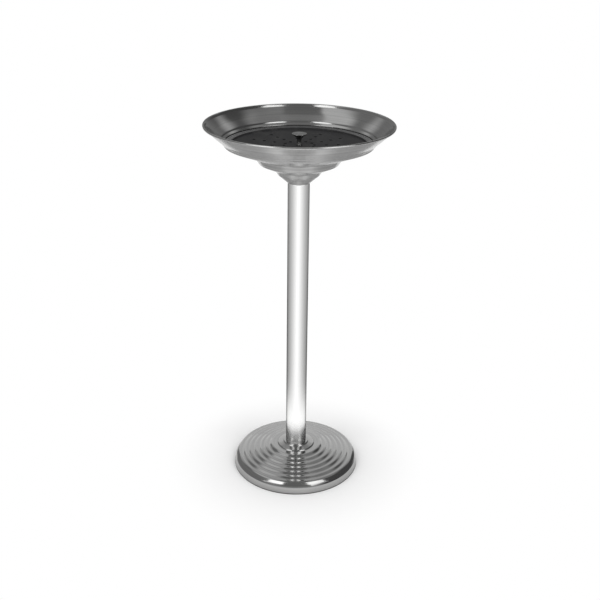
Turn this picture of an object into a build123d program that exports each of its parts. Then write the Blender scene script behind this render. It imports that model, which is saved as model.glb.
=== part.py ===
"""Pedestal ashtray: a spun dish with a lift-out sieve, on a tube and a weighted, ringed foot.

Millimetres, +Z up. The origin is on the floor, on the axis that every piece shares.
"""

import os
from math import cos, radians, sin, tan

from build123d import *

# ---------------------------------------------------------------- sizes ----
# Foot: a spun cover on a rubber floor ring, with a cast weight inside
foot_diameter = 278.0  # outside of the skirt, carried down to the floor
foot_sheet = 0.8
skirt_height = 15.6
skirt_lean = 9.0  # degrees off vertical
lower_shoulder_slope = 55.0  # degrees
lower_shoulder_width = 2.9
upper_shoulder_slope = 43.0
upper_shoulder_width = 4.5
first_flat_inset = 16.0  # from the outside of the foot to the middle of the outermost flat
flat_width = 2.6
flat_pitch = 12.0
band_slope = 18.8  # degrees, of the bands between the flats
inner_band_slope = 10.5
hub_top_margin = 4.5  # from the tube to the edge of the hub's flat top
hub_step_pitch = 13.0
hub_step_height = 2.2
hub_step_slope = 60.0
hub_ledge_slope = 12.0  # of the ledge between the two steps
floor_ring_lip = 2.0  # rubber between the skirt's edge and the floor
floor_ring_width = 12.0
floor_ring_height = 8.0
weight_diameter = 236.0
weight_thickness = 14.0
weight_floor_gap = 5.0
weight_boss_diameter = 48.0
weight_boss_draft = 4.0  # degrees
weight_pocket_diameter = 42.0
weight_pocket_depth = 22.0

# Pole
tube_diameter = 44.5
tube_wall = 1.5
tube_length = 604.0
plug_thickness = 16.0
plug_clearance = 0.1

# Tie rod and what is threaded on it
rod_diameter = 10.0
rod_hole_clearance = 0.5
thread_clearance = 0.05
rod_below_nut = 3.0
nut_across_flats = 17.0
nut_height = 8.0
lock_washer_diameter = 18.0
lock_washer_thickness = 2.2
lock_washer_gap = 2.0
base_washer_diameter = 36.0
base_washer_thickness = 3.0
seal_diameter = 33.0
seal_thickness = 2.0
clamp_washer_diameter = 30.0
clamp_washer_thickness = 2.5
dome_nut_height = 18.0
dome_nut_crown = 3.0  # solid metal over the end of the rod
dome_nut_draft = 8.0  # degrees
dome_nut_chamfer = 2.5

# Dish: each run of its wall is a slope and the depth that it falls by
dish_diameter = 380.0
dish_sheet = 0.8
bead_diameter = 4.4
bead_sides = 8  # the rolled edge is drawn with eight sides
upper_wall_slope = 48.6
upper_wall_fall = 17.2
sill_slope = 39.6
sill_fall = 8.2
lower_wall_slope = 48.8
lower_wall_fall = 13.4
pan_slope = 21.3
second_tier_radius = 89.5
tier_wall_slope = 59.0
second_tier_fall = 14.2
second_pan_slope = 24.0
third_tier_radius = 48.4
third_tier_fall = 9.4
neck_slope = 41.0
neck_overhang = 0.4  # how far the neck's foot covers the edge of the tube

# Sieve
sieve_sheet = 1.2
sieve_seat_clearance = 0.3
sieve_edge_gap = 1.6
sieve_flange_width = 13.0
hole_diameter = 6.0
hole_sides = 8  # the many holes are drawn with eight sides
hole_ring_radius = 30.5
hole_ring_pitch = 23.6
hole_ring_count = 4
hole_rays = 12
hole_ray_offset = 5.0  # degrees
knob_diameter = 30.0
knob_height = 23.6
knob_rim = 1.8  # thickness of the cap at its edge
knob_dish = 1.0  # how far the middle of the cap is sunk
knob_flare_diameter = 20.4
knob_flare_height = 19.2
knob_throat_diameter = 13.6
knob_throat_height = 15.4
knob_stem_diameter = 7.6
knob_stem_height = 10.8
knob_foot_diameter = 11.0
knob_foot_height = 1.5
screw_diameter = 5.0
screw_clearance = 0.05
screw_hole_clearance = 0.25
screw_engagement = 12.0
screw_end_gap = 1.0  # left above the screw in the knob's threaded hole
screw_head_diameter = 10.0
screw_head_height = 3.2
screw_slot_width = 1.4
screw_slot_depth = 1.6
sieve_washer_diameter = 15.0
sieve_washer_thickness = 1.2

# ----------------------------------------------------- outline helpers ----


def climb(outline, slope, inward):
    """Carry an outline of (radius, height) corners up and inward at a slope."""
    radius, height = outline[-1]
    outline.append((radius - inward, height + inward * tan(radians(slope))))


def drop(outline, slope, fall):
    """Carry an outline of (radius, height) corners down and inward at a slope."""
    radius, height = outline[-1]
    outline.append((radius - fall / tan(radians(slope)), height - fall))


def lining(outline, sheet):
    """Follow an outline back from its end, one sheet to its left, or to its right if that is negative."""
    corners = [Vector(*corner) for corner in outline]
    sides = [(end - start).normalized().rotate(Axis.Z, 90) for start, end in zip(corners, corners[1:])]
    turns = zip(sides[:1] + sides, sides + sides[-1:])
    mitres = [(before + after) / (1 + before.dot(after)) for before, after in turns]
    return [corner + mitre * sheet for corner, mitre in zip(corners, mitres)][::-1]


# ------------------------------------------------------ foot's outline ----
rod_hole_radius = rod_diameter / 2 + rod_hole_clearance
thread_hole_radius = rod_diameter / 2 + thread_clearance
tube_radius = tube_diameter / 2
tube_bore_radius = tube_radius - tube_wall

foot_radius = foot_diameter / 2
hub_riser_width = hub_step_height / tan(radians(hub_step_slope))
hub_radius = tube_radius + hub_top_margin + hub_riser_width + hub_step_pitch
first_flat_radius = foot_radius - first_flat_inset
flat_count = 1 + int((first_flat_radius - flat_width / 2 - hub_radius - flat_pitch) / flat_pitch)

foot_outline = [(foot_radius, 0.0)]
climb(foot_outline, 90 - skirt_lean, skirt_height * tan(radians(skirt_lean)))
climb(foot_outline, lower_shoulder_slope, lower_shoulder_width)
climb(foot_outline, upper_shoulder_slope, upper_shoulder_width)
shoulder_corners = len(foot_outline)
for flat in range(flat_count):
    flat_edge = first_flat_radius - flat * flat_pitch + flat_width / 2
    climb(foot_outline, band_slope, foot_outline[-1][0] - flat_edge)
    climb(foot_outline, 0.0, flat_width)
hub_corners = len(foot_outline)
climb(foot_outline, inner_band_slope, foot_outline[-1][0] - hub_radius)
climb(foot_outline, hub_step_slope, hub_riser_width)
climb(foot_outline, hub_ledge_slope, hub_step_pitch - hub_riser_width)
climb(foot_outline, hub_step_slope, hub_riser_width)
climb(foot_outline, 0.0, foot_outline[-1][0] - rod_hole_radius)
hub_top = foot_outline[-1][1]
hub_underside = hub_top - foot_sheet

# The rings are formed in the top face alone: below them the underside follows one plain slope,
# from the inner edge of the outermost flat to the inner edge of the innermost one
flat_ends = foot_outline[shoulder_corners + 1 : hub_corners : 2]
plain_outline = (
    foot_outline[:shoulder_corners] + flat_ends[:1] + flat_ends[1:][-1:] + foot_outline[hub_corners:]
)

# ------------------------------------------------------ dish's outline ----
tube_top = hub_top + tube_length
bead_radius = bead_diameter / 2
bead_middle_radius = dish_diameter / 2 - bead_radius
neck_radius = tube_radius + neck_overhang

# Outside of the dish, drawn down from the side of its rolled edge, whose middle is at height 0
wall_offset = bead_radius - dish_sheet
wall_direction = radians(upper_wall_slope)
dish_outline = [(bead_middle_radius - wall_offset * sin(wall_direction), wall_offset * cos(wall_direction))]
drop(dish_outline, upper_wall_slope, upper_wall_fall)
drop(dish_outline, sill_slope, sill_fall)
drop(dish_outline, lower_wall_slope, lower_wall_fall)
pan_corner_radius, pan_corner_depth = dish_outline[-1][0], -dish_outline[-1][1]
drop(dish_outline, pan_slope, (pan_corner_radius - second_tier_radius) * tan(radians(pan_slope)))
drop(dish_outline, tier_wall_slope, second_tier_fall)
second_pan_width = dish_outline[-1][0] - third_tier_radius
drop(dish_outline, second_pan_slope, second_pan_width * tan(radians(second_pan_slope)))
drop(dish_outline, tier_wall_slope, third_tier_fall)
neck_width = dish_outline[-1][0] - neck_radius
drop(dish_outline, neck_slope, neck_width * tan(radians(neck_slope)))
rim_height = tube_top - dish_outline[-1][1]
dish_outline = [(radius, rim_height + height) for radius, height in dish_outline]
dish_outline.append((rod_hole_radius, tube_top))
dish_floor = tube_top + dish_sheet

# ----------------------------------------------------- sieve's outline ----
# Its flange lies on the dish's pan, which is one sheet above the outline of the dish
sieve_radius = pan_corner_radius - dish_sheet - sieve_edge_gap
sieve_bend_radius = sieve_radius - sieve_flange_width * cos(radians(pan_slope))


def flange_underside(radius):
    """Height of the underside of the sieve's flange, just clear of the pan below it."""
    pan = rim_height - pan_corner_depth - (pan_corner_radius - radius) * tan(radians(pan_slope))
    return pan + (dish_sheet + sieve_seat_clearance) / cos(radians(pan_slope))


sieve_underside = flange_underside(sieve_bend_radius)
sieve_top = sieve_underside + sieve_sheet
knob_top = sieve_top + knob_height

os.makedirs("parts", exist_ok=True)


def keep(piece, name):
    """Name a finished piece and write it out."""
    piece.part.label = name
    export_step(piece.part, f"parts/{name}.step")


# ---------------------------------------------------------------- foot ----
# Spun from one sheet: a leaning skirt, a two-slope shoulder, flat rings and a stepped hub
with BuildPart() as base_cover:
    with BuildSketch(Plane.XZ):
        with BuildLine():
            Polyline(*foot_outline, *lining(plain_outline, foot_sheet), close=True)
        make_face()
    revolve(axis=Axis.Z)
    split(bisect_by=Plane.XY.offset(floor_ring_lip))
keep(base_cover, "base_cover")

# Rubber ring under the skirt's edge, with a wall that stands up inside the skirt
skirt_end = foot_radius - floor_ring_lip * tan(radians(skirt_lean))
skirt_inside = skirt_end - foot_sheet / cos(radians(skirt_lean))
ring_wall_lean = (floor_ring_height - floor_ring_lip) * tan(radians(skirt_lean))
with BuildPart() as floor_ring:
    with BuildSketch(Plane.XZ):
        with BuildLine():
            Polyline(
                (foot_radius, 0),
                (skirt_end, floor_ring_lip),
                (skirt_inside, floor_ring_lip),
                (skirt_inside - ring_wall_lean, floor_ring_height),
                (foot_radius - floor_ring_width, floor_ring_lip),
                (foot_radius - floor_ring_width, 0),
                close=True,
            )
        make_face()
    revolve(axis=Axis.Z)
keep(floor_ring, "floor_ring")

# Cast disc with a boss that meets the underside of the hub and a pocket for the nut
pocket_roof = weight_floor_gap + weight_pocket_depth
weight_top = weight_floor_gap + weight_thickness
with BuildPart() as base_weight:
    with BuildSketch(Plane.XY.offset(weight_floor_gap)):
        Circle(weight_diameter / 2)
    extrude(amount=weight_thickness, taper=weight_boss_draft)
    with BuildSketch(Plane.XY.offset(hub_underside)):
        Circle(weight_boss_diameter / 2)
    extrude(amount=weight_top - hub_underside, taper=-weight_boss_draft)
    with BuildSketch(Plane.XY.offset(weight_floor_gap)):
        Circle(weight_pocket_diameter / 2)
    extrude(amount=weight_pocket_depth, mode=Mode.SUBTRACT)
    with BuildSketch(Plane.XY.offset(pocket_roof)):
        Circle(rod_hole_radius)
    extrude(until=Until.LAST, mode=Mode.SUBTRACT)
keep(base_weight, "base_weight")


def make_washer(height, thickness, diameter, hole_radius):
    """Make a flat washer whose underside is at the given height."""
    with BuildPart() as washer:
        with BuildSketch(Plane.XY.offset(height)):
            Circle(diameter / 2)
            Circle(hole_radius, mode=Mode.SUBTRACT)
        extrude(amount=thickness)
    return washer


base_washer_underside = pocket_roof - base_washer_thickness
base_washer = make_washer(
    base_washer_underside, base_washer_thickness, base_washer_diameter, rod_hole_radius
)
keep(base_washer, "base_washer")

lock_washer_underside = base_washer_underside - lock_washer_thickness
with BuildPart() as base_lock_washer:
    with BuildSketch(Plane.XY.offset(lock_washer_underside)):
        Circle(lock_washer_diameter / 2)
        Circle(rod_hole_radius, mode=Mode.SUBTRACT)
        with Locations((lock_washer_diameter / 2, 0)):
            Rectangle(lock_washer_diameter, lock_washer_gap, mode=Mode.SUBTRACT)
    extrude(amount=lock_washer_thickness)
keep(base_lock_washer, "base_lock_washer")

base_nut_underside = lock_washer_underside - nut_height
with BuildPart() as base_nut:
    with BuildSketch(Plane.XY.offset(base_nut_underside)):
        RegularPolygon(nut_across_flats / 2, 6, major_radius=False)
        Circle(thread_hole_radius, mode=Mode.SUBTRACT)
    extrude(amount=nut_height)
keep(base_nut, "base_nut")

# ---------------------------------------------------------------- pole ----
with BuildPart() as pole_tube:
    with BuildSketch(Plane.XY.offset(hub_top)):
        Circle(tube_radius)
        Circle(tube_bore_radius, mode=Mode.SUBTRACT)
    extrude(amount=tube_length)
keep(pole_tube, "pole_tube")

plug_diameter = 2 * (tube_bore_radius - plug_clearance)
tube_bottom_plug = make_washer(hub_top, plug_thickness, plug_diameter, rod_hole_radius)
keep(tube_bottom_plug, "tube_bottom_plug")
tube_top_plug = make_washer(tube_top - plug_thickness, plug_thickness, plug_diameter, rod_hole_radius)
keep(tube_top_plug, "tube_top_plug")

# ---------------------------------------------------------------- dish ----
# Spun from one sheet: a two-slope wall with a rolled edge, and three tiers down to the neck
with BuildPart() as bowl:
    with BuildSketch(Plane.XZ):
        with BuildLine():
            Polyline(*dish_outline, *lining(dish_outline, -dish_sheet), close=True)
        make_face()
        with Locations((bead_middle_radius, rim_height)):
            RegularPolygon(bead_radius, bead_sides)
    revolve(axis=Axis.Z)
keep(bowl, "bowl")

bowl_seal = make_washer(dish_floor, seal_thickness, seal_diameter, rod_hole_radius)
keep(bowl_seal, "bowl_seal")
clamp_underside = dish_floor + seal_thickness
bowl_clamp_washer = make_washer(
    clamp_underside, clamp_washer_thickness, clamp_washer_diameter, rod_hole_radius
)
keep(bowl_clamp_washer, "bowl_clamp_washer")

dome_nut_underside = clamp_underside + clamp_washer_thickness
dome_nut_top = dome_nut_underside + dome_nut_height
rod_top = dome_nut_top - dome_nut_crown
dome_side_height = dome_nut_height - dome_nut_chamfer - nut_height
dome_top_radius = nut_across_flats / 2 - dome_side_height * tan(radians(dome_nut_draft)) - dome_nut_chamfer
with BuildPart() as bowl_dome_nut:
    with BuildSketch(Plane.XY.offset(dome_nut_underside)):
        RegularPolygon(nut_across_flats / 2, 6, major_radius=False)
    extrude(amount=nut_height)
    with BuildSketch(Plane.XZ):
        with BuildLine():
            Polyline(
                (0, dome_nut_underside + nut_height),
                (nut_across_flats / 2, dome_nut_underside + nut_height),
                (dome_top_radius + dome_nut_chamfer, dome_nut_top - dome_nut_chamfer),
                (dome_top_radius, dome_nut_top),
                (0, dome_nut_top),
                close=True,
            )
        make_face()
    revolve(axis=Axis.Z)
    with BuildSketch(Plane.XY.offset(dome_nut_underside)):
        Circle(thread_hole_radius)
    extrude(amount=rod_top - dome_nut_underside, mode=Mode.SUBTRACT)
keep(bowl_dome_nut, "bowl_dome_nut")

rod_bottom = base_nut_underside - rod_below_nut
with BuildPart() as tie_rod:
    with BuildSketch(Plane.XY.offset(rod_bottom)):
        Circle(rod_diameter / 2)
    extrude(amount=rod_top - rod_bottom)
keep(tie_rod, "tie_rod")

# --------------------------------------------------------------- sieve ----
screw_hole_radius = screw_diameter / 2 + screw_hole_clearance
sieve_outline = [
    (screw_hole_radius, sieve_underside),
    (sieve_bend_radius, sieve_underside),
    (sieve_radius, flange_underside(sieve_radius)),
]
with BuildPart() as sieve_plate:
    with BuildSketch(Plane.XZ):
        with BuildLine():
            Polyline(*sieve_outline, *lining(sieve_outline, sieve_sheet), close=True)
        make_face()
    revolve(axis=Axis.Z)
    with BuildSketch(Plane.XY.offset(sieve_underside)):
        for ring in range(hole_ring_count):
            ring_radius = hole_ring_radius + ring * hole_ring_pitch
            with PolarLocations(ring_radius, hole_rays, start_angle=hole_ray_offset):
                RegularPolygon(hole_diameter / 2, hole_sides)
    extrude(amount=sieve_sheet, mode=Mode.SUBTRACT)
keep(sieve_plate, "sieve_plate")

# Turned knob: a foot, a thin stem and a trumpet that opens in three tapers under a dished cap
with BuildPart() as sieve_knob:
    with BuildSketch(Plane.XZ):
        with BuildLine():
            Polyline(
                (0, sieve_top),
                (knob_foot_diameter / 2, sieve_top),
                (knob_stem_diameter / 2, sieve_top + knob_foot_height),
                (knob_stem_diameter / 2, sieve_top + knob_stem_height),
                (knob_throat_diameter / 2, sieve_top + knob_throat_height),
                (knob_flare_diameter / 2, sieve_top + knob_flare_height),
                (knob_diameter / 2, knob_top - knob_rim),
                (knob_diameter / 2, knob_top),
                (0, knob_top - knob_dish),
                close=True,
            )
        make_face()
    revolve(axis=Axis.Z)
    with BuildSketch(Plane.XY.offset(sieve_top)):
        Circle(screw_diameter / 2 + screw_clearance)
    extrude(amount=screw_engagement, mode=Mode.SUBTRACT)
keep(sieve_knob, "sieve_knob")

sieve_washer_underside = sieve_underside - sieve_washer_thickness
sieve_washer = make_washer(
    sieve_washer_underside, sieve_washer_thickness, sieve_washer_diameter, screw_hole_radius
)
keep(sieve_washer, "sieve_washer")

screw_length = sieve_washer_thickness + sieve_sheet + screw_engagement - screw_end_gap
with BuildPart() as sieve_screw:
    with BuildSketch(Plane.XY.offset(sieve_washer_underside)):
        Circle(screw_diameter / 2)
    extrude(amount=screw_length)
    with BuildSketch(Plane.XY.offset(sieve_washer_underside)):
        Circle(screw_head_diameter / 2)
    extrude(amount=-screw_head_height)
    with BuildSketch(Plane.XY.offset(sieve_washer_underside - screw_head_height)):
        Rectangle(screw_head_diameter, screw_slot_width)
    extrude(amount=screw_slot_depth, mode=Mode.SUBTRACT)
keep(sieve_screw, "sieve_screw")
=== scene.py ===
"""Standing ashtray: a spun steel dish with a lift-out sieve, on a polished pole and a ringed, weighted foot.

The pieces are lathe work: each starts as an outline of (radius, height) corners in metres, its corners are
rounded by a bevel, and it is spun about the axis that every piece shares.
"""

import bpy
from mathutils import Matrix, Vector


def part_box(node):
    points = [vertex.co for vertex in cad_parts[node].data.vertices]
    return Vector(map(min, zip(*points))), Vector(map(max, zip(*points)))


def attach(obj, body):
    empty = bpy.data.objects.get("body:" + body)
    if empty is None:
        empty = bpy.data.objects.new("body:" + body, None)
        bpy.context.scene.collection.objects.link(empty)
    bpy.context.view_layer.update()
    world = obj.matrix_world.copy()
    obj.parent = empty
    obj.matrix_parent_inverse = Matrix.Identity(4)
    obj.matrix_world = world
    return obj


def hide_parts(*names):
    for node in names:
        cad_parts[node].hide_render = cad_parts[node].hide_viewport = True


bl_info = {
    "name": "Standing Ashtray",
    "version": (1, 0, 0),
    "blender": (4, 5, 0),
    "location": "3D View > Sidebar > Ashtray",
    "description": "Builds a standing ashtray around its packed frame",
    "category": "Add Mesh",
}

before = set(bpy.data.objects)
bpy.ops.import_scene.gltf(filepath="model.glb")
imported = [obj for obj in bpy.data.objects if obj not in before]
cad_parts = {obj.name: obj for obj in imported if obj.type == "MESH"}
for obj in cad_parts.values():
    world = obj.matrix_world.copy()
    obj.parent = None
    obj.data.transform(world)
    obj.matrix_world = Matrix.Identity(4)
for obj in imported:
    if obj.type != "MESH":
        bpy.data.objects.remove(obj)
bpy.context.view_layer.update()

from math import atan, cos, pi, radians, sin, tan

import bmesh
import bpy
from bpy.props import FloatProperty, FloatVectorProperty, IntProperty, PointerProperty
from bpy.types import Operator, Panel, PropertyGroup
from mathutils import Matrix, Vector

Y_AXIS = Vector((0, 1, 0))
Z_AXIS = Vector((0, 0, 1))
MM = 0.001

# Play of the tie rod, the tube's plugs and the sieve's screw in their holes, on the radius
ROD_PLAY = 0.5 * MM
PLUG_PLAY = 0.1 * MM
SCREW_PLAY = 0.25 * MM

# Steps round the axis, more of them where a piece is wide or mirrors its surroundings sharply
FOOT_STEPS = 192
POLE_STEPS = 128
DISH_STEPS = 360
PLATE_STEPS = 144
KNOB_STEPS = 96
SCREW_HOLE_STEPS = 24
ASH_HOLE_STEPS = 20
ROLL_STEPS = 24

# ------------------------------------------------------------------- sizes --


def length(name, millimetres, description):
    """A length that a user can change, given in millimetres."""
    return FloatProperty(
        name=name, description=description, default=millimetres * MM, min=0.0, precision=5, unit="LENGTH"
    )


def angle(name, value, description):
    """An angle that a user can change, given in degrees."""
    return FloatProperty(name=name, description=description, default=radians(value), subtype="ANGLE")


def colour(name, value, description):
    """A colour that a user can change, given as red, green and blue in linear light."""
    return FloatVectorProperty(
        name=name, description=description, default=(*value, 1.0), size=4, min=0.0, max=1.0, subtype="COLOR"
    )


def share(name, value, description):
    """A part of one, such as a roughness, that a user can change."""
    return FloatProperty(
        name=name, description=description, default=value, min=0.0, max=1.0, subtype="FACTOR"
    )


class AshtrayFootSizes(PropertyGroup):
    """Sizes of the ringed foot cover and of the rubber ring under it."""

    sheet: length("Sheet", 0.8, "Thickness of the spun sheet")
    skirt_height: length("Skirt height", 15.6, "Height of the leaning skirt above the floor")
    skirt_lean: angle("Skirt lean", 9, "Lean of the skirt from upright")
    lower_shoulder_slope: angle("Lower shoulder slope", 55, "Slope of the shoulder next to the skirt")
    lower_shoulder_width: length("Lower shoulder width", 2.9, "Width of the shoulder next to the skirt")
    upper_shoulder_slope: angle("Upper shoulder slope", 43, "Slope of the shoulder next to the rings")
    upper_shoulder_width: length("Upper shoulder width", 4.5, "Width of the shoulder next to the rings")
    first_flat_inset: length("First flat inset", 16.0, "From the foot's edge to its outermost flat's middle")
    ring_width: length("Ring width", 12.0, "Width of the rubber ring's face on the floor")
    flat_count: IntProperty(name="Flats", description="Number of flat rings", default=6, min=1)
    flat_width: length("Flat width", 2.6, "Width of each flat ring")
    flat_pitch: length("Flat pitch", 12.0, "From one flat ring to the next")
    band_slope: angle("Band slope", 18.8, "Mean slope of the bands between the flats")
    inner_band_slope: angle("Inner band slope", 10.5, "Mean slope of the band and the ledge next to the hub")
    inner_ledge_slope: angle("Inner ledge slope", -2, "Slope of the ledge that falls towards the hub")
    hub_top_margin: length("Hub top margin", 4.5, "From the pole to the edge of the hub's flat top")
    hub_step_pitch: length("Hub step pitch", 13.0, "From one of the hub's steps to the next")
    hub_step_height: length("Hub step height", 2.2, "Height of each of the hub's two steps")
    hub_step_slope: angle("Hub step slope", 60, "Slope of each step's riser")
    hub_ledge_slope: angle("Hub ledge slope", 12, "Slope of the ledge between the two steps")


class AshtrayDishSizes(PropertyGroup):
    """Sizes of the dish: each run of its wall is a slope and the depth that it falls by."""

    sheet: length("Sheet", 0.8, "Thickness of the spun sheet")
    bead: length("Rolled edge", 4.4, "Diameter of the rolled edge")
    roll: angle("Roll", 290, "How far round the edge is rolled")
    upper_wall_slope: angle("Upper wall slope", 48.6, "Slope of the wall under the rolled edge")
    upper_wall_fall: length("Upper wall fall", 17.2, "Depth of the wall under the rolled edge")
    rim_slope: angle("Rim slope", 60, "Slope of the steep run under the rolled edge")
    rim_fall: length("Rim fall", 4.5, "Depth of the steep run under the rolled edge")
    crease_slope: angle("Crease slope", 62, "Slope of the crease of the lower wall")
    crease_depth: length("Crease depth", 4.6, "From the sill down to the crease of the lower wall")
    crease_fall: length("Crease fall", 2.6, "Depth of the crease of the lower wall")
    sill_slope: angle("Sill slope", 39.6, "Slope of the sill round the dish")
    sill_fall: length("Sill fall", 8.2, "Depth of the sill round the dish")
    lower_wall_slope: angle("Lower wall slope", 48.8, "Slope of the wall under the sill")
    lower_wall_fall: length("Lower wall fall", 13.4, "Depth of the wall under the sill")
    seat_slope: angle("Seat slope", 89, "Slope of the step round the sieve's flange")
    seat_fall: length("Seat fall", 2.6, "Depth of the step round the sieve's flange")
    pan_slope: angle("Pan slope", 21.3, "Slope of the pan that the sieve lies on")
    second_tier_radius: length("Second tier radius", 89.5, "Radius at which the pan ends")
    tier_wall_slope: angle("Tier wall slope", 59, "Slope of the walls of both lower tiers")
    second_tier_fall: length("Second tier fall", 14.2, "Depth of the second tier's wall")
    second_pan_slope: angle("Second pan slope", 24, "Slope of the second tier's floor")
    third_tier_radius: length("Third tier radius", 48.4, "Radius at which the third tier begins")
    third_tier_fall: length("Third tier fall", 9.4, "Depth of the third tier's wall")
    neck_overhang: length("Neck overhang", 0.4, "How far the neck's foot covers the edge of the pole")


class AshtraySieveSizes(PropertyGroup):
    """Sizes of the lift-out sieve and of its knob."""

    sheet: length("Sheet", 1.2, "Thickness of the sieve")
    hole: length("Hole", 7.0, "Diameter of each hole")
    hole_ring_radius: length("Hole ring radius", 30.5, "Radius of the innermost ring of holes")
    hole_ring_pitch: length("Hole ring pitch", 23.6, "From one ring of holes to the next")
    hole_rings: IntProperty(name="Hole rings", description="Number of rings of holes", default=4, min=1)
    hole_rays: IntProperty(name="Hole rays", description="Number of rays of holes", default=12, min=3)
    hole_ray_offset: angle("Hole ray offset", 5, "Turn of the rays of holes")
    plain_edge: length("Plain edge", 3.0, "Width of the plate's even edge, next to the flange's bend")
    flange_width: length("Flange width", 13.0, "Width of the flange that lies on the pan")
    edge_lean: length("Edge lean", 0.3, "How far the flange's upper edge stands in from its lower one")
    riser_share: share("Riser share", 0.6, "Share of the flange's rise that its riser takes")
    riser_slope: angle("Riser slope", 58, "Slope of the riser between the plate and the flange")
    knob_rim: length("Knob rim", 1.8, "Thickness of the knob's cap at its edge")
    knob_dish: length("Knob dish", 1.0, "How far the middle of the knob's cap is sunk")
    knob_flare_depth: length("Knob flare depth", 4.4, "From the cap's edge down to the flare under it")
    knob_throat_depth: length("Knob throat depth", 8.2, "From the cap's edge down to the throat")
    knob_waist: length("Knob waist", 5.168, "Diameter of the stem at its thinnest")
    knob_waist_depth: length("Knob waist depth", 11.5, "From the cap's edge down to the thinnest of the stem")
    knob_foot: length("Knob foot", 11.0, "Diameter of the knob's foot")


class AshtrayFinishes(PropertyGroup):
    """Colours of the steel, knob, pole and sieve finishes, and roughness of the foot, dish and pole."""

    steel_dark: colour("Dark steel", (0.27, 0.27, 0.27), "Spun steel along its darker tool marks")
    steel_light: colour("Light steel", (0.36, 0.36, 0.355), "Spun steel along its lighter tool marks")
    foot_roughness: share("Foot roughness", 0.13, "Roughness of the spun foot")
    dish_inside_roughness: share("Dish inside roughness", 0.13, "Roughness of the inside of the dish")
    dish_outside_roughness: share("Dish outside roughness", 0.24, "Roughness of the outside of the dish")
    knob_dark: colour("Dark knob", (0.24, 0.24, 0.24), "Turned steel along its darker tool marks")
    knob_light: colour("Light knob", (0.34, 0.34, 0.335), "Turned steel along its lighter tool marks")
    pole_colour: colour("Pole", (0.92, 0.92, 0.915), "Polished pole")
    pole_roughness: share("Pole roughness", 0.25, "Roughness of the pole")
    sieve_colour: colour("Sieve", (0.021, 0.021, 0.022), "Black coating of the sieve")
    dust_colour: colour("Dust", (0.036, 0.036, 0.036), "Dust on the sieve")


# ------------------------------------------------------------ shader maths --


class Value:
    """A socket of a node graph that takes part in Python expressions."""

    def __init__(self, graph, socket):
        self.graph = graph
        self.socket = socket

    def math(self, operation, *terms):
        """One maths node, with this graph's values or plain numbers as its terms."""
        return self.graph.node("ShaderNodeMath", {"operation": operation}, dict(enumerate(terms)))

    def __add__(self, other):
        return self.math("ADD", self, other)

    def __sub__(self, other):
        return self.math("SUBTRACT", self, other)

    def __rsub__(self, other):
        return self.math("SUBTRACT", other, self)

    def __mul__(self, other):
        return self.math("MULTIPLY", self, other)

    def __truediv__(self, other):
        return self.math("DIVIDE", self, other)

    def __pow__(self, other):
        return self.math("POWER", self, other)

    __radd__ = __add__
    __rmul__ = __mul__

    def ramp(self, low, high):
        """Zero at low and under, one at high and over, and smooth between."""
        values = {"Value": self, "From Min": low, "From Max": high}
        return self.graph.node("ShaderNodeMapRange", {"interpolation_type": "SMOOTHSTEP"}, values)


class Graph:
    """The nodes of their owner, a material or the world."""

    def __init__(self, owner):
        owner.use_nodes = True
        self.owner = owner
        self.tree = owner.node_tree

    def node(self, kind, settings, values, output=0):
        """Add a node: its settings come first, then the values or links of its sockets."""
        made = self.tree.nodes.new(kind)
        for name, setting in settings.items():
            setattr(made, name, setting)
        for key, value in values.items():
            self.feed(made.inputs[key], value)
        return Value(self, made.outputs[output])

    def feed(self, socket, value):
        """Link a socket to a value, or set it where the value is a plain one."""
        if isinstance(value, Value):
            self.tree.links.new(value.socket, socket)
        else:
            socket.default_value = value

    def place(self, kind):
        """The x, y and z of the coordinates of one kind."""
        coordinates = self.node("ShaderNodeTexCoord", {}, {}, kind)
        split = self.node("ShaderNodeSeparateXYZ", {}, {0: coordinates}).socket.node
        return tuple(Value(self, split.outputs[axis]) for axis in "XYZ")

    def background_rays(self):
        """One for the camera's rays, and one for those that are mirrored or go through glass."""
        path = self.node("ShaderNodeLightPath", {}, {}).socket.node
        kinds = "Is Camera Ray", "Is Glossy Ray", "Is Transmission Ray"
        camera, glossy, through = (Value(self, path.outputs[kind]) for kind in kinds)
        return camera, (glossy + through).ramp(0.0, 1.0)


class Finish(Graph):
    """A procedural material under construction."""

    def __init__(self, name, **constants):
        super().__init__(bpy.data.materials.new(name))
        self.shader = self.tree.nodes["Principled BSDF"]
        self.surface(**constants)

    def surface(self, **values):
        """Set or link the sockets of the main shader, named with underscores for spaces."""
        for name, value in values.items():
            self.feed(self.shader.inputs[name.replace("_", " ").title().replace("Ior", "IOR")], value)

    def position(self):
        """The x, y and z of a point on the piece, in metres."""
        return self.place("Object")

    def vector(self, x, y, z):
        """A vector from three values."""
        return self.node("ShaderNodeCombineXYZ", {}, {"X": x, "Y": y, "Z": z})

    def noise(self, vector, scale=1.0, detail=2.0, roughness=0.5):
        """A noise from about 0.3 to 0.7."""
        values = {"Vector": vector, "Scale": scale, "Detail": detail, "Roughness": roughness}
        return self.node("ShaderNodeTexNoise", {}, values)

    def mix(self, factor, low, high):
        """A colour between two others."""
        factor_socket, low_socket, high_socket, colour_result = 0, 6, 7, 2
        values = {factor_socket: factor, low_socket: low, high_socket: high}
        return self.node("ShaderNodeMix", {"data_type": "RGBA"}, values, colour_result)

    def bump(self, height, depth, strength=1.0):
        """Normals from a height between zero and one, which stands for a depth in metres."""
        values = {"Height": height, "Distance": depth, "Strength": strength}
        self.surface(normal=self.node("ShaderNodeBump", {}, values))


# -------------------------------------------------------------- lathe work --


def start_outline(corners):
    """Start a mesh with an outline of (radius, height) corners, and return it with its vertices."""
    turned = bmesh.new()
    points = [turned.verts.new((radius, 0, height)) for radius, height in corners]
    for near, far in zip(points, points[1:]):
        turned.edges.new((near, far))
    return turned, points


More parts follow.
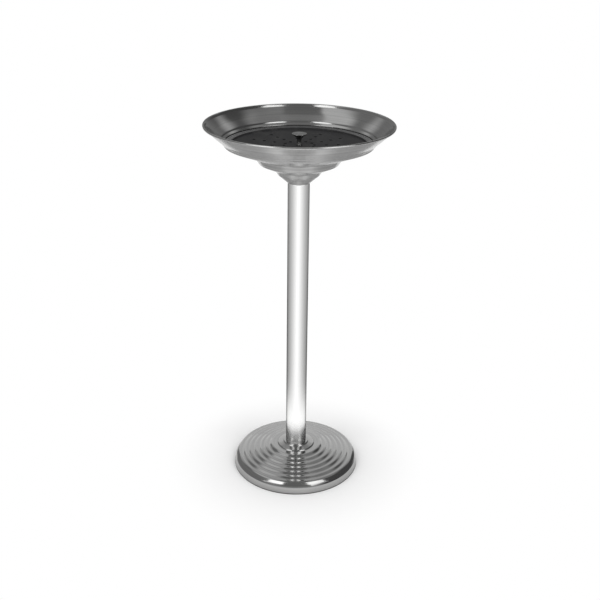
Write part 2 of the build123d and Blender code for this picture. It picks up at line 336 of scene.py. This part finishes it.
def round_corner(turned, point, radius, segments=4):
    """Round one corner of an outline to a radius."""
    arriving, leaving = [edge.other_vert(point).co - point.co for edge in point.link_edges]
    half_turn = (pi - arriving.angle(leaving)) / 2
    bmesh.ops.bevel(
        turned, geom=[point], offset=radius * tan(half_turn), offset_type="OFFSET", affect="VERTICES",
        segments=segments, profile=0.5, material=-1,
    )


def round_corners(turned, points, radii, segments=4):
    """Round a run of corners, each to a radius in millimetres."""
    for point, radius in zip(points, radii):
        round_corner(turned, point, radius * MM, segments)


def spin_round(turned, steps):
    """Spin an outline into a closed turned surface, with its faces pointing outwards."""
    outline = turned.verts[:] + turned.edges[:]
    bmesh.ops.spin(
        turned, geom=outline, cent=(0, 0, 0), axis=Z_AXIS, dvec=(0, 0, 0), angle=2 * pi, steps=steps,
        use_merge=True, use_normal_flip=False, use_duplicate=False,
    )
    bmesh.ops.remove_doubles(turned, verts=turned.verts[:], dist=0.001 * MM)
    bmesh.ops.recalc_face_normals(turned, faces=turned.faces[:])


def thicken(skin, sheet, upwards):
    """Give a skin its thickness, on its upper or on its lower side."""
    # The second layer is added behind the faces, so they first turn away from that side
    facing_up = sum(face.normal.z * face.calc_area() for face in skin.faces) > 0
    if facing_up == upwards:
        bmesh.ops.reverse_faces(skin, faces=skin.faces[:])
    bmesh.ops.solidify(skin, geom=skin.faces[:], thickness=sheet)
    skin.normal_update()


def finish_piece(turned, name, body, finish, stands_for, sharp=35):
    """Turn a mesh into a piece that rides on a body in place of CAD nodes."""
    mesh = bpy.data.meshes.new(name)
    turned.to_mesh(mesh)
    turned.free()
    mesh.shade_smooth()
    mesh.set_sharp_from_angle(angle=radians(sharp))
    mesh.materials.append(finish)
    piece = bpy.data.objects.new(name, mesh)
    bpy.context.scene.collection.objects.link(piece)
    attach(piece, body)
    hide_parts(*stands_for)
    return piece


def climb(outline, slope, inward):
    """Carry an outline of (radius, height) corners up and inward at a slope."""
    radius, height = outline[-1]
    outline.append((radius - inward, height + inward * tan(slope)))


def swell(outline, inward, rise, start=0.0, steps=10):
    """Carry an outline up and inward over a swell that is level at both ends, or over the end of one."""
    for step in range(steps):
        passed = start + (1 - start) * (step + 0.5) / steps
        climb(outline, atan(2 * rise / inward * sin(pi * passed) ** 2), inward / steps)


def drop(outline, slope, fall, steep_slope=None, steep_from=0.0, steep_fall=0.0):
    """Carry an outline down and inward at a mean slope, with a steeper run in it that begins at a depth."""
    radius, height = outline[-1]
    end = radius - fall / tan(slope), height - fall
    if steep_fall:
        rest_run = (fall / tan(slope) - steep_fall / tan(steep_slope)) / (fall - steep_fall)
        if steep_from:
            outline.append((radius - steep_from * rest_run, height - steep_from))
            radius, height = outline[-1]
        outline.append((radius - steep_fall / tan(steep_slope), height - steep_fall))
    outline.append(end)


# ---------------------------------------------------------------- finishes --


def spun_steel(name, roughness, metallic=1.0, darker=1.0, lighter=1.0):
    """Spun and brushed stainless steel: fine tool marks round the axis over faint broader bands.

    Its gloss spreads across the marks. A metallic of less than one makes it duller, and two factors
    scale its darker and lighter shades.
    """
    looks = bpy.context.scene.ashtray_finishes
    finish = Finish(name, metallic=metallic)
    x, y, z = finish.position()
    radius = (x * x + y * y) ** 0.5
    marks = finish.noise(finish.vector(radius, z, 0.0), scale=2600.0, detail=3.0, roughness=0.65)
    bands = finish.noise(finish.vector(radius, z, 0.5), scale=260.0)
    clouds = finish.noise(finish.vector(x, y, z), scale=14.0, detail=3.0)
    shade = marks.ramp(0.3, 0.7) * 0.55
    shade = shade + bands.ramp(0.35, 0.65) * 0.3 + clouds.ramp(0.35, 0.65) * 0.15
    dark = [darker * part for part in looks.steel_dark]
    light = [lighter * part for part in looks.steel_light]
    finish.surface(
        base_color=finish.mix(shade, dark, light),
        roughness=roughness + (marks - 0.5) * 0.1 + (clouds - 0.5) * 0.08,
        anisotropic=0.6,
        anisotropic_rotation=0.25,
    )
    finish.bump(marks * 0.7 + bands * 0.3, depth=0.02 * MM, strength=0.15)
    return finish.owner


def polished_tube():
    """Drawn tube, polished along its length, which darkens towards its sides."""
    looks = bpy.context.scene.ashtray_finishes
    black = (0.0, 0.0, 0.0, 1.0)
    finish = Finish("polished_tube", metallic=1.0, base_color=looks.pole_colour, specular_tint=black)
    x, y, z = finish.position()
    grain = finish.noise(finish.vector(x * 300.0, y * 300.0, z * 12.0))
    finish.surface(roughness=looks.pole_roughness + (grain - 0.5) * 0.02)
    return finish.owner


def turned_steel():
    """Turned stainless steel of the knob."""
    looks = bpy.context.scene.ashtray_finishes
    finish = Finish("turned_steel", metallic=1.0)
    x, y, z = finish.position()
    radius = (x * x + y * y) ** 0.5
    marks = finish.noise(finish.vector(radius, z, 0.0), scale=5200.0)
    finish.surface(
        base_color=finish.mix(marks.ramp(0.3, 0.7), looks.knob_dark, looks.knob_light),
        roughness=0.2 + (marks - 0.5) * 0.1,
        anisotropic=0.7,
        anisotropic_rotation=0.25,
    )
    finish.bump(marks, depth=0.01 * MM, strength=0.3)
    return finish.owner


def black_coating():
    """Satin black coating of the sieve: a fine orange peel, a little dust and a glossier flange."""
    looks = bpy.context.scene.ashtray_finishes
    finish = Finish("black_coating", specular_ior_level=0.07, coat_roughness=0.15)
    x, y, z = finish.position()
    place = finish.vector(x, y, z)
    radius = (x * x + y * y) ** 0.5
    flange_radius = 138.0 * MM
    peel = finish.noise(place, scale=900.0)
    dust = finish.noise(place, scale=34.0, detail=4.0).ramp(0.45, 0.7)
    finish.surface(
        base_color=finish.mix(dust, looks.sieve_colour, looks.dust_colour),
        roughness=0.5 + dust * 0.1 + (peel - 0.5) * 0.1,
        coat_weight=radius.ramp(flange_radius - MM, flange_radius + MM),
    )
    finish.bump(peel, depth=0.02 * MM, strength=0.25)
    return finish.owner


def plain_finish(name, dark, light, roughness, grain, depth, metallic=0.0):
    """A mottled finish of two shades, with the size of its grain and its depth in metres."""
    finish = Finish(name, metallic=metallic)
    x, y, z = finish.position()
    place = finish.vector(x, y, z)
    mottle = finish.noise(place, scale=1.0 / grain, detail=4.0)
    patches = finish.noise(place, scale=0.1 / grain)
    shade = (mottle * 0.5 + patches * 0.5).ramp(0.35, 0.65)
    finish.surface(
        base_color=finish.mix(shade, (*dark, 1.0), (*light, 1.0)),
        roughness=roughness + (mottle - 0.5) * 0.2,
    )
    finish.bump(mottle, depth, strength=0.6)
    return finish.owner


def rubber_finish(name):
    """Matt black rubber."""
    return plain_finish(
        name, dark=(0.018, 0.018, 0.018), light=(0.04, 0.04, 0.039),
        roughness=0.6, grain=1.5 * MM, depth=0.02 * MM,
    )


# -------------------------------------------------------------------- foot --


class ASHTRAY_OT_foot_cover(Operator):
    """Spin the foot's cover: a leaning skirt, a creased shoulder, flat rings and a stepped hub"""

    bl_idname = "ashtray.foot_cover"
    bl_label = "Foot Cover"

    def execute(self, context):
        foot = context.scene.ashtray_foot
        foot_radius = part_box("floor_ring")[1].x
        lip_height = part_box("base_cover")[0].z
        tube_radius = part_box("pole_tube")[1].x
        hole_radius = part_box("tie_rod")[1].x + ROD_PLAY

        # The outside of the sheet: from the skirt's edge, up and inwards to the hole for the rod
        outline = [(foot_radius - lip_height * tan(foot.skirt_lean), lip_height)]
        skirt_run = (foot.skirt_height - lip_height) * tan(foot.skirt_lean)
        climb(outline, pi / 2 - foot.skirt_lean, skirt_run)
        climb(outline, foot.lower_shoulder_slope, foot.lower_shoulder_width)
        climb(outline, foot.upper_shoulder_slope, foot.upper_shoulder_width)
        ring_radius = foot_radius - foot.first_flat_inset
        run_in = outline[-1][0] - ring_radius
        swell(outline, run_in, (run_in - foot.flat_width / 2) * tan(foot.band_slope), start=0.5)
        band_rise = (foot.flat_pitch - foot.flat_width) * tan(foot.band_slope)
        for ring in range(1, foot.flat_count):
            swell(outline, foot.flat_pitch, band_rise)
        riser = foot.hub_step_height / tan(foot.hub_step_slope)
        hub_radius = tube_radius + foot.hub_top_margin + riser + foot.hub_step_pitch
        run_out = outline[-1][0] - hub_radius
        inner_rise = (run_out - foot.flat_width / 2) * tan(foot.inner_band_slope)
        inner_ledge = run_out - foot.flat_pitch
        swell(outline, foot.flat_pitch, inner_rise - inner_ledge * tan(foot.inner_ledge_slope))
        climb(outline, foot.inner_ledge_slope, inner_ledge)
        hub = len(outline) - 1
        climb(outline, foot.hub_step_slope, riser)
        climb(outline, foot.hub_ledge_slope, foot.hub_step_pitch - riser)
        climb(outline, foot.hub_step_slope, riser)
        climb(outline, 0.0, outline[-1][0] - hole_radius)

        cover, points = start_outline(outline)
        shoulder_roundings = 5.0, 1.5, 5.0
        hub_roundings = 0.5, 2.4, 2.0, 1.6
        round_corners(cover, points[1:4], shoulder_roundings)
        round_corners(cover, points[hub:], hub_roundings)
        spin_round(cover, FOOT_STEPS)
        thicken(cover, foot.sheet, upwards=False)
        spun_foot = spun_steel("spun_foot", context.scene.ashtray_finishes.foot_roughness)
        finish_piece(cover, "foot_cover", "stand", spun_foot, ["base_cover"])
        return {"FINISHED"}


class ASHTRAY_OT_floor_ring(Operator):
    """Mould the rubber ring that the foot stands on"""

    bl_idname = "ashtray.floor_ring"
    bl_label = "Floor Ring"

    def execute(self, context):
        foot = context.scene.ashtray_foot
        low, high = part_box("floor_ring")
        lip_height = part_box("base_cover")[0].z
        lean = tan(foot.skirt_lean)
        inside = high.x - foot.sheet / cos(foot.skirt_lean) - lip_height * lean
        inner_radius = high.x - foot.ring_width
        ring, points = start_outline([
            (high.x, low.z),
            (high.x - lip_height * lean, lip_height),
            (inside, lip_height),
            (inside - (high.z - lip_height) * lean, high.z),
            (inner_radius, lip_height),
            (inner_radius, low.z),
        ])
        ring.edges.new((points[-1], points[0]))
        ring_roundings = 0.5, 0.3, 0.2, 0.8, 1.0, 0.5
        round_corners(ring, points, ring_roundings, segments=3)
        spin_round(ring, FOOT_STEPS)
        rubber = rubber_finish("black_rubber")
        finish_piece(ring, "rubber_floor_ring", "stand", rubber, ["floor_ring"])
        return {"FINISHED"}


class ASHTRAY_OT_pole(Operator):
    """Draw the polished tube of the pole"""

    bl_idname = "ashtray.pole"
    bl_label = "Pole"

    def execute(self, context):
        low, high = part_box("pole_tube")
        bore_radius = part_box("tube_top_plug")[1].x + PLUG_PLAY
        tube, points = start_outline([
            (high.x, low.z), (high.x, high.z), (bore_radius, high.z), (bore_radius, low.z),
        ])
        tube.edges.new((points[-1], points[0]))
        end_roundings = (0.3,) * 4
        round_corners(tube, points, end_roundings, segments=2)
        spin_round(tube, POLE_STEPS)
        # The edges between wall and rounding stay sharp, so that the long walls are shaded level
        finish = polished_tube()
        finish_piece(tube, "polished_pole", "stand", finish, ["pole_tube"], sharp=15)
        return {"FINISHED"}


# -------------------------------------------------------------------- dish --


class ASHTRAY_OT_dish(Operator):
    """Spin the dish from one sheet, down its inside, and roll its edge"""

    bl_idname = "ashtray.dish"
    bl_label = "Dish"

    def execute(self, context):
        dish = context.scene.ashtray_dish
        low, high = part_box("bowl")
        bead_radius = dish.bead / 2
        rim_radius = high.x - bead_radius
        rim_height = high.z - bead_radius
        neck_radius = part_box("pole_tube")[1].x + dish.neck_overhang
        hole_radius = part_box("tie_rod")[1].x + ROD_PLAY

        # The outside of the sheet: from the rolled edge, down and inwards to the hole for the rod
        inset = bead_radius - dish.sheet
        outline = [(
            rim_radius - inset * sin(dish.upper_wall_slope),
            rim_height + inset * cos(dish.upper_wall_slope),
        )]
        drop(
            outline, dish.upper_wall_slope, dish.upper_wall_fall,
            steep_slope=dish.rim_slope, steep_fall=dish.rim_fall,
        )
        drop(outline, dish.sill_slope, dish.sill_fall)
        wall_fall = dish.lower_wall_fall - dish.seat_fall
        wall_run = dish.lower_wall_fall / tan(dish.lower_wall_slope) - dish.seat_fall / tan(dish.seat_slope)
        wall_slope = atan(wall_fall / wall_run)
        drop(
            outline, wall_slope, wall_fall,
            steep_slope=dish.crease_slope, steep_from=dish.crease_depth, steep_fall=dish.crease_fall,
        )
        drop(outline, dish.seat_slope, dish.seat_fall)
        pan_fall = (outline[-1][0] - dish.second_tier_radius) * tan(dish.pan_slope)
        drop(outline, dish.pan_slope, pan_fall)
        drop(outline, dish.tier_wall_slope, dish.second_tier_fall)
        second_pan_fall = (outline[-1][0] - dish.third_tier_radius) * tan(dish.second_pan_slope)
        drop(outline, dish.second_pan_slope, second_pan_fall)
        drop(outline, dish.tier_wall_slope, dish.third_tier_fall)
        outline.append((neck_radius, low.z))
        outline.append((hole_radius, low.z))

        shell, points = start_outline(outline)
        wall_roundings = 8, 100, 2.5, 5, 5, 0.2, 1
        tier_roundings = 5, 3, 5, 3, 1.5
        round_corners(shell, points[1:-1], wall_roundings + tier_roundings, segments=5)
        # The edge is rolled outwards and under, nearly back to the wall, about the middle of the bead
        bmesh.ops.spin(
            shell, geom=[points[0]], cent=(rim_radius, 0, rim_height), axis=Y_AXIS, dvec=(0, 0, 0),
            angle=dish.roll, steps=ROLL_STEPS, use_merge=False, use_normal_flip=False, use_duplicate=False,
        )
        spin_round(shell, DISH_STEPS)
        thicken(shell, dish.sheet, upwards=True)
        # The dish's inside, which looks up, has the second finish
        for face in shell.faces:
            face.material_index = int(face.normal.z > 0)
        looks = context.scene.ashtray_finishes
        outside = spun_steel(
            "spun_dish_outside", looks.dish_outside_roughness, metallic=0.5, darker=1.08, lighter=1.5
        )
        inside = spun_steel("spun_dish_inside", looks.dish_inside_roughness)
        dish_piece = finish_piece(shell, "spun_dish", "stand", outside, ["bowl"])
        dish_piece.data.materials.append(inside)
        return {"FINISHED"}


# ------------------------------------------------------------------- sieve --


class ASHTRAY_OT_sieve_plate(Operator):
    """Pierce the sieve's plate and bend up its flange"""

    bl_idname = "ashtray.sieve_plate"
    bl_label = "Sieve Plate"

    def execute(self, context):
        sieve = context.scene.ashtray_sieve
        dish = context.scene.ashtray_dish
        low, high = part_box("sieve_plate")
        bend_radius = high.x - sieve.flange_width * cos(dish.pan_slope)
        flat_edge = bend_radius - sieve.plain_edge
        # The edge of the flat plate and the rims of all its holes, filled as one
        plate = bmesh.new()
        flat_ring = bmesh.ops.create_circle(plate, cap_ends=False, radius=flat_edge, segments=PLATE_STEPS)
        screw_shank_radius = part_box("sieve_screw")[1].x / 2  # Its head is twice as wide
        screw_hole_radius = screw_shank_radius + SCREW_PLAY
        bmesh.ops.create_circle(plate, cap_ends=False, radius=screw_hole_radius, segments=SCREW_HOLE_STEPS)
        for ring in range(sieve.hole_rings):
            for ray in range(sieve.hole_rays):
                turn = sieve.hole_ray_offset + ray * 2 * pi / sieve.hole_rays
                reach = sieve.hole_ring_radius + ring * sieve.hole_ring_pitch
                place = Matrix.Rotation(turn, 4, "Z") @ Matrix.Translation((reach, 0, 0))
                bmesh.ops.create_circle(
                    plate, cap_ends=False, radius=sieve.hole / 2, segments=ASH_HOLE_STEPS, matrix=place
                )
        rim = list(dict.fromkeys(edge for vert in flat_ring["verts"] for edge in vert.link_edges))
        bmesh.ops.triangle_fill(plate, use_beauty=True, edges=plate.edges[:])
        # The plain edge, the riser and the flange follow, each to a radius and a height above the plate
        edge_radius = high.x - sieve.edge_lean
        edge_rise = (edge_radius - bend_radius) * tan(dish.pan_slope)
        riser = sieve.riser_share * edge_rise
        for wide, rise in (
            (bend_radius, 0.0),
            (bend_radius + riser / tan(sieve.riser_slope), riser),
            (edge_radius, edge_rise),
        ):
            out = bmesh.ops.extrude_edge_only(plate, edges=rim)["geom"]
            rim = [item for item in out if isinstance(item, bmesh.types.BMEdge)]
            for vert in (item for item in out if isinstance(item, bmesh.types.BMVert)):
                place = vert.co.xy.normalized() * wide
                vert.co = (place.x, place.y, rise)
        bmesh.ops.recalc_face_normals(plate, faces=plate.faces[:])
        bmesh.ops.translate(plate, verts=plate.verts[:], vec=(0, 0, low.z + sieve.sheet))
        thicken(plate, sieve.sheet, upwards=False)
        finish_piece(plate, "pierced_sieve", "sieve", black_coating(), ["sieve_plate"])
        return {"FINISHED"}


class ASHTRAY_OT_sieve_knob(Operator):
    """Turn the knob that the sieve is lifted by"""

    bl_idname = "ashtray.sieve_knob"
    bl_label = "Sieve Knob"

    def execute(self, context):
        sieve = context.scene.ashtray_sieve
        low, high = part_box("sieve_knob")
        cap_radius = high.x
        # The sunk top, the cap's edge, the flare under it, the throat, the thinnest of the stem, its foot
        knob, points = start_outline([
            (0.0, high.z - sieve.knob_dish),
            (cap_radius * 0.75, high.z - sieve.knob_dish * 0.35),
            (cap_radius, high.z),
            (cap_radius, high.z - sieve.knob_rim),
            (cap_radius * 0.72, high.z - sieve.knob_flare_depth),
            (cap_radius * 0.45, high.z - sieve.knob_throat_depth),
            (sieve.knob_waist / 2, high.z - sieve.knob_waist_depth),
            (sieve.knob_foot / 2, low.z),
            (0.0, low.z),
        ])
        cap_roundings = 12, 0.5, 0.6
        stem_roundings = 10, 12, 12, 0.3
        round_corners(knob, points[1:-1], cap_roundings + stem_roundings, segments=5)
        spin_round(knob, KNOB_STEPS)
        finish_piece(knob, "turned_knob", "sieve", turned_steel(), ["sieve_knob"])
        return {"FINISHED"}


# ------------------------------------------------------- fasteners, inside --


class ASHTRAY_OT_inner_pieces(Operator):
    """Give the pieces inside the stand and under the sieve their finishes"""

    bl_idname = "ashtray.inner_pieces"
    bl_label = "Inner Pieces"

    def execute(self, context):
        zinc = plain_finish(
            "zinc_plate", dark=(0.42, 0.42, 0.41), light=(0.6, 0.6, 0.59),
            roughness=0.34, grain=1.2 * MM, depth=0.01 * MM, metallic=1.0,
        )
        iron = plain_finish(
            "painted_casting", dark=(0.02, 0.02, 0.021), light=(0.05, 0.05, 0.05),
            roughness=0.62, grain=1.6 * MM, depth=0.15 * MM,
        )
        nylon = plain_finish(
            "black_nylon", dark=(0.02, 0.02, 0.02), light=(0.035, 0.035, 0.035),
            roughness=0.5, grain=1.0 * MM, depth=0.01 * MM,
        )
        rubber = rubber_finish("seal_rubber")
        finishes = {
            zinc: (
                "base_washer", "base_lock_washer", "base_nut", "tie_rod", "bowl_clamp_washer",
                "bowl_dome_nut", "sieve_washer", "sieve_screw",
            ),
            iron: ("base_weight",),
            nylon: ("tube_bottom_plug", "tube_top_plug"),
            rubber: ("bowl_seal",),
        }
        for finish, names in finishes.items():
            for name in names:
                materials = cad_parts[name].data.materials
                materials.clear()
                materials.append(finish)
        return {"FINISHED"}


# ------------------------------------------------------------------- stage --


class ASHTRAY_OT_stage(Operator):
    """Set up the floor, the light and the camera"""

    bl_idname = "ashtray.stage"
    bl_label = "Stage"

    floor_radius = 14.0
    backdrop_distance = 0.95
    backdrop_width = 1.5
    backdrop_height = 0.74
    backdrop_glow = 1.1
    sky_level = 0.68
    softbox_radiance = 2.4
    softbox_bottom = 0.9
    softbox_height = 2.65
    softbox_ends = {
        "left_softbox": ((-0.63, -1.18), (-1.65, -0.94)),
        "right_softbox": ((0.8, -1.46), (1.52, -0.76)),
    }
    camera_place = (0.0054, -1.785, 1.1844)
    camera_fall = radians(23.78)
    camera_roll = radians(0.73)
    camera_lens = 55.15

    def execute(self, context):
        self.add_floor()
        self.add_backdrop()
        self.add_light()
        self.add_camera(context.scene)
        return {"FINISHED"}

    def add_floor(self):
        """Lay a pale floor, which keeps the object's shadow and is an even white farther out."""
        floor = bmesh.new()
        bmesh.ops.create_circle(floor, cap_ends=True, radius=self.floor_radius, segments=96)
        mesh = bpy.data.meshes.new("floor")
        floor.to_mesh(mesh)
        floor.free()
        pale = (0.96, 0.96, 0.96, 1.0)
        paper = Finish("pale_floor", base_color=pale, roughness=1.0, specular_ior_level=0.0)
        x, y, z = paper.position()
        reach = (x * x + y * y) ** 0.5
        camera, mirrored = paper.background_rays()
        # Mirrored rays see it brightest in front and close by, and darkest behind the object
        behind = (0.5 + 0.5 * y / (reach + 0.01)) ** 0.5
        brightness = 1.3 - 0.98 * (1.0 - (1.0 - behind) ** 1.6) * reach.ramp(0.17, 0.4)
        colour_seen = camera + mirrored * brightness
        glow = paper.node("ShaderNodeEmission", {}, {"Color": colour_seen, "Strength": 1.0})
        lit = Value(paper, paper.shader.outputs[0])
        share_of_glow = camera * reach.ramp(0.12, 0.3) + mirrored * reach.ramp(0.13, 0.2)
        shown = paper.node("ShaderNodeMixShader", {}, {0: share_of_glow, 1: lit, 2: glow})
        paper.feed(paper.tree.nodes["Material Output"].inputs["Surface"], shown)
        mesh.materials.append(paper.owner)
        piece = bpy.data.objects.new("floor", mesh)
        bpy.context.scene.collection.objects.link(piece)

    def add_backdrop(self):
        """Stand a white sheet behind the object, which only mirrored rays see."""
        sheet = bmesh.new()
        half_width = self.backdrop_width / 2
        ends = [sheet.verts.new((x, self.backdrop_distance, 0.0)) for x in (-half_width, half_width)]
        lower_edge = sheet.edges.new(ends)
        risen = bmesh.ops.extrude_edge_only(sheet, edges=[lower_edge])["geom"]
        tops = [item for item in risen if isinstance(item, bmesh.types.BMVert)]
        bmesh.ops.translate(sheet, verts=tops, vec=(0, 0, self.backdrop_height))
        mesh = bpy.data.meshes.new("backdrop")
        sheet.to_mesh(mesh)
        sheet.free()
        white = Graph(bpy.data.materials.new("white_backdrop"))
        glow = white.node("ShaderNodeEmission", {}, {"Color": (1, 1, 1, 1), "Strength": self.backdrop_glow})
        white.feed(white.tree.nodes["Material Output"].inputs["Surface"], glow)
        mesh.materials.append(white.owner)
        piece = bpy.data.objects.new("backdrop", mesh)
        bpy.context.scene.collection.objects.link(piece)
        piece.visible_camera = piece.visible_diffuse = piece.visible_shadow = False

    def add_light(self):
        """Light the object evenly from the sky, and from two tall soft boxes in front."""
        world = bpy.data.worlds.new("studio")
        bpy.context.scene.world = world
        room = Graph(world)
        x, y, z = room.place("Generated")
        camera, mirrored = room.background_rays()
        left = -1.0 * x
        front = -1.0 * y
        # What mirrored rays see: a dim room, then lighter panels, each laid over the ones before it
        seen = 0.29 + 0.07 * left.ramp(0.2, 0.7) - 0.16 * x.ramp(0.3, 0.7)
        ceiling_behind = z.ramp(0.72, 0.9) * y.ramp(-0.15, 0.25)
        wall_behind = y.ramp(0.5, 0.72) * z.ramp(0.35, 0.55)
        right_panel = z.ramp(0.74, 0.86) * x.ramp(0.18, 0.24) * (1.0 - x.ramp(0.42, 0.6))
        low_front = front.ramp(0.5, 0.75) * (1.0 - z.ramp(0.45, 0.55))
        left_panel = z.ramp(0.72, 0.84) * left.ramp(0.26, 0.32) * (1.0 - left.ramp(0.5, 0.68))
        for radiance, mask in (
            (0.8, ceiling_behind),
            (0.85, wall_behind),
            (0.45, right_panel),
            (0.6, low_front),
            (1.1, left_panel),
        ):
            seen = seen + mask * (radiance - seen)
        strength = camera + mirrored * seen + (1.0 - camera - mirrored) * self.sky_level
        background = room.tree.nodes["Background"]
        room.feed(background.inputs["Strength"], strength)
        room.feed(background.inputs["Color"], (1, 1, 1, 1))
        for name, ends in self.softbox_ends.items():
            near, far = (Vector((*end, self.softbox_bottom)) for end in ends)
            lamp = bpy.data.lights.new(name, "AREA")
            lamp.shape = "RECTANGLE"
            lamp.size = (far - near).length
            lamp.size_y = self.softbox_height
            lamp.energy = self.softbox_radiance * pi * lamp.size * lamp.size_y
            softbox = bpy.data.objects.new(name, lamp)
            bpy.context.scene.collection.objects.link(softbox)
            middle = (near + far) / 2
            softbox.location = middle + Vector((0, 0, lamp.size_y / 2))
            # A lamp shines along its own -Z, so its Z points away from the object
            across = (far - near).normalized()
            outward = across.cross(Z_AXIS)
            if outward.dot(middle) < 0:
                outward.negate()
            softbox.rotation_euler = outward.to_track_quat("Z", "Y").to_euler()
            softbox.visible_camera = False

    def add_camera(self, scene):
        """Look down at the object from in front of it."""
        lens = bpy.data.cameras.new("camera")
        lens.lens = self.camera_lens
        camera = bpy.data.objects.new("camera", lens)
        scene.collection.objects.link(camera)
        camera.matrix_world = (
            Matrix.Translation(self.camera_place)
            @ Matrix.Rotation(pi / 2 - self.camera_fall, 4, "X")
            @ Matrix.Rotation(self.camera_roll, 4, "Z")
        )
        scene.camera = camera


class ASHTRAY_PT_panel(Panel):
    """Lists the ashtray's pieces and their sizes and finishes"""

    bl_label = "Ashtray"
    bl_idname = "ASHTRAY_PT_panel"
    bl_space_type = "VIEW_3D"
    bl_region_type = "UI"
    bl_category = "Ashtray"

    def draw(self, context):
        for operator in OPERATORS:
            self.layout.operator(operator.bl_idname)
        for group in GROUPS:
            box = self.layout.box()
            settings = getattr(context.scene, group)
            for name in settings.bl_rna.properties.keys():
                if name not in ("rna_type", "name"):
                    box.prop(settings, name)


GROUPS = {
    "ashtray_foot": AshtrayFootSizes,
    "ashtray_dish": AshtrayDishSizes,
    "ashtray_sieve": AshtraySieveSizes,
    "ashtray_finishes": AshtrayFinishes,
}
OPERATORS = (
    ASHTRAY_OT_foot_cover,
    ASHTRAY_OT_floor_ring,
    ASHTRAY_OT_pole,
    ASHTRAY_OT_dish,
    ASHTRAY_OT_sieve_plate,
    ASHTRAY_OT_sieve_knob,
    ASHTRAY_OT_inner_pieces,
    ASHTRAY_OT_stage,
)


def register():
    for group in GROUPS.values():
        bpy.utils.register_class(group)
    for operator in (*OPERATORS, ASHTRAY_PT_panel):
        bpy.utils.register_class(operator)
    for name, group in GROUPS.items():
        setattr(bpy.types.Scene, name, PointerProperty(type=group))


def unregister():
    for name in GROUPS:
        delattr(bpy.types.Scene, name)
    for operator in (ASHTRAY_PT_panel, *reversed(OPERATORS)):
        bpy.utils.unregister_class(operator)
    for group in reversed(GROUPS.values()):
        bpy.utils.unregister_class(group)


def main():
    register()
    bpy.context.scene.view_settings.view_transform = "Standard"
    for operator in OPERATORS:
        family, _, action = operator.bl_idname.partition(".")
        getattr(getattr(bpy.ops, family), action)()


if __name__ == "__main__":
    main()
